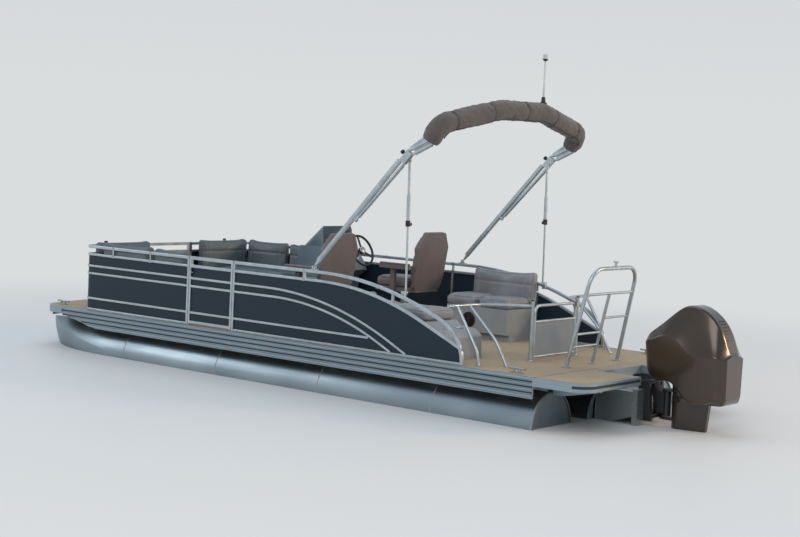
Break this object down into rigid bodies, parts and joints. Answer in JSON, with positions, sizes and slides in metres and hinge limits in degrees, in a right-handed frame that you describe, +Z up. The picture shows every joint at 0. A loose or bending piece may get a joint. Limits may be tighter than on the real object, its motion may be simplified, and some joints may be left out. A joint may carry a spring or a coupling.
{
  "type": "pontoon boat",
  "caption": "Deck boat on long aluminium tubes with a railed cockpit, helm, lounges, gates, folded bimini, tow bar, swim platform and an outboard motor that tilts and steers.",
  "frame": {"origin": "on the waterline, on the centreline, at the middle of the deck and swim platform", "axes": "+X to the bow, +Y to port, +Z up"},
  "size_m": [8.128, 2.59, 4.163],
  "materials": {
    "tube_aluminium": "satin sheet",
    "mill_aluminium": "mill finish",
    "skirt_aluminium": "satin blue-grey",
    "rail_aluminium": "bright anodised",
    "deck_vinyl": "woven vinyl",
    "panel_paint": "satin slate",
    "grey_panel": "textured",
    "moulded_base": "moulded",
    "slate_vinyl": "coated vinyl",
    "grey_vinyl": "coated vinyl",
    "chair_vinyl": "coated vinyl",
    "console_gelcoat": "gelcoat",
    "black_plastic": "moulded",
    "wheel_rubber": "moulded",
    "boot_canvas": "woven acrylic",
    "pole_white": "moulded",
    "motor_black": "satin",
    "motor_paint": "gloss",
    "cowl_paint": "gloss",
    "propeller_steel": "polished",
    "smoked_acrylic": "smoked, clear"
  },
  "bodies": {
    "hull": {"pontoon_port": "tube_aluminium", "pontoon_centre": "tube_aluminium", "pontoon_starboard": "tube_aluminium", "cross_members": "mill_aluminium", "deck": "deck_vinyl", "deck_skirts": "skirt_aluminium", "bow_trim": "skirt_aluminium", "swim_platform": "skirt_aluminium", "motor_pod": "mill_aluminium", "fence_port_fore": "rail_aluminium", "fence_port_aft": "rail_aluminium", "fence_starboard": "rail_aluminium", "fence_bow": "rail_aluminium", "panels_port": "panel_paint", "panels_starboard": "panel_paint", "panels_bow": "panel_paint", "stern_rails": "rail_aluminium", "tow_bar": "rail_aluminium", "lounge_bases": "moulded_base", "bow_lounge_port": "slate_vinyl", "bow_lounge_starboard": "slate_vinyl", "aft_lounge_port": "grey_vinyl", "aft_lounge_starboard": "grey_vinyl", "helm_console": "console_gelcoat", "windscreen": "smoked_acrylic", "helm_column": "black_plastic", "chair_pedestal": "rail_aluminium", "bimini_mounts": "rail_aluminium", "outboard_clamp": "motor_black", "cleats": "rail_aluminium"},
    "side_gate": {"side_gate_frame": "rail_aluminium", "side_gate_panel": "panel_paint"},
    "bow_gate": {"bow_gate_frame": "rail_aluminium", "bow_gate_panel": "panel_paint"},
    "stern_gate": {"stern_gate_frame": "rail_aluminium", "stern_gate_panel": "grey_panel"},
    "helm_wheel": {"steering_wheel": "wheel_rubber"},
    "chair": {"captains_chair": "chair_vinyl"},
    "companion_chair": {"companion_chair": "chair_vinyl"},
    "bimini": {"bimini_frame": "rail_aluminium", "bimini_boot": "boot_canvas", "light_pole": "pole_white"},
    "strut_rod_port": {"strut_rod_port": "rail_aluminium"},
    "strut_sleeve_port": {"strut_sleeve_port": "rail_aluminium"},
    "strut_rod_starboard": {"strut_rod_starboard": "rail_aluminium"},
    "strut_sleeve_starboard": {"strut_sleeve_starboard": "rail_aluminium"},
    "motor_bracket": {"outboard_swivel": "motor_black"},
    "motor": {"outboard_cowl": "cowl_paint", "outboard_leg": "motor_paint", "outboard_gearcase": "motor_paint"},
    "propeller": {"propeller": "propeller_steel"}
  },
  "joints": [
    {"name": "side_gate_hinge", "type": "hinge", "parent": "hull", "child": "side_gate", "pos_m": [0.583, 1.191, 0.8], "axis": [0, 0, 1], "range_deg": [-90, 0]},
    {"name": "bow_gate_hinge", "type": "hinge", "parent": "hull", "child": "bow_gate", "pos_m": [2.846, 0.353, 0.8], "axis": [0, 0, 1], "range_deg": [-90, 0]},
    {"name": "stern_gate_hinge", "type": "hinge", "parent": "hull", "child": "stern_gate", "pos_m": [-2.504, 0.37, 0.75], "axis": [0, 0, 1], "range_deg": [0, 90]},
    {"name": "helm_turn", "type": "hinge", "parent": "hull", "child": "helm_wheel", "pos_m": [0.61, -0.82, 1.25], "axis": [-0.9063, 0, 0.4226], "range_deg": [-820, 820]},
    {"name": "chair_swivel", "type": "hinge", "parent": "hull", "child": "chair", "pos_m": [-0.12, -0.7, 0.88], "axis": [0, 0, 1], "continuous": true},
    {"name": "companion_swivel", "type": "hinge", "parent": "hull", "child": "companion_chair", "pos_m": [-0.02, 0.69, 0.88], "axis": [0, 0, 1], "continuous": true},
    {"name": "bimini_fold", "type": "hinge", "parent": "hull", "child": "bimini", "pos_m": [-0.5, 0, 1.212], "axis": [0, -1, 0], "range_deg": [0, 26]},
    {"name": "strut_hinge_port", "type": "hinge", "parent": "hull", "child": "strut_rod_port", "pos_m": [-1.6, 1.152, 1.062], "axis": [0, -1, 0], "range_deg": [0, 29.48]},
    {"name": "strut_slide_port", "type": "slide", "parent": "strut_rod_port", "child": "strut_sleeve_port", "axis": [0.0194, 0, 0.9998], "range_m": [-0.5033, 0]},
    {"name": "strut_hinge_starboard", "type": "hinge", "parent": "hull", "child": "strut_rod_starboard", "pos_m": [-1.6, -1.152, 1.062], "axis": [0, -1, 0], "range_deg": [0, 29.48]},
    {"name": "strut_slide_starboard", "type": "slide", "parent": "strut_rod_starboard", "child": "strut_sleeve_starboard", "axis": [0.0194, 0, 0.9998], "range_m": [-0.5033, 0]},
    {"name": "outboard_tilt", "type": "hinge", "parent": "hull", "child": "motor_bracket", "pos_m": [-3.63, 0, 0.385], "axis": [0, 1, 0], "range_deg": [-4, 60]},
    {"name": "outboard_steer", "type": "hinge", "parent": "motor_bracket", "child": "motor", "pos_m": [-3.775, 0, 0.2], "axis": [0, 0, 1], "range_deg": [-30, 30]},
    {"name": "propeller_spin", "type": "hinge", "parent": "motor", "child": "propeller", "pos_m": [-4.205, 0, -0.505], "axis": [1, 0, 0], "continuous": true}
  ],
  "couplings": [
    {"joint": "helm_turn", "follows": "outboard_steer", "ratio": 27},
    {"joint": "strut_hinge_port", "follows": "bimini_fold", "ratio": 1.1069},
    {"joint": "strut_slide_port", "follows": "bimini_fold", "m_per_rad": -1.0959},
    {"joint": "strut_hinge_starboard", "follows": "bimini_fold", "ratio": 1.1069},
    {"joint": "strut_slide_starboard", "follows": "bimini_fold", "m_per_rad": -1.0959}
  ]
}
